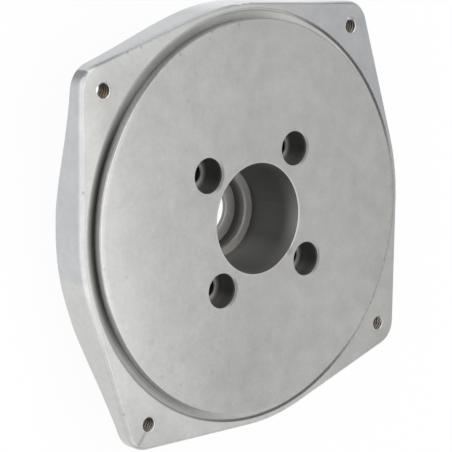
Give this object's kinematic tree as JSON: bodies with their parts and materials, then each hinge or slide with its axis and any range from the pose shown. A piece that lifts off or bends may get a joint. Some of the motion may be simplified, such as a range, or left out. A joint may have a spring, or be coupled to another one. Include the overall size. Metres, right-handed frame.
{
  "type": "motor_adapter_flange",
  "caption": "Cast and machined aluminium adapter flange that couples a motor face to a gearbox, with a turned spigot, a stepped shaft bore, counterbored screw holes and tapped corner ears",
  "frame": {"origin": "on the bore axis, at the centre of the flat hub face the part rests on", "axes": "+Z along the bore axis towards the spigot face, +X and +Y square to the flat-looking sides, so the ears point along the diagonals"},
  "size_m": [0.165, 0.165, 0.0322],
  "materials": {
    "cast_aluminium": "satin"
  },
  "bodies": {
    "root": {"adapter_flange": "cast_aluminium"}
  },
  "joints": []
}
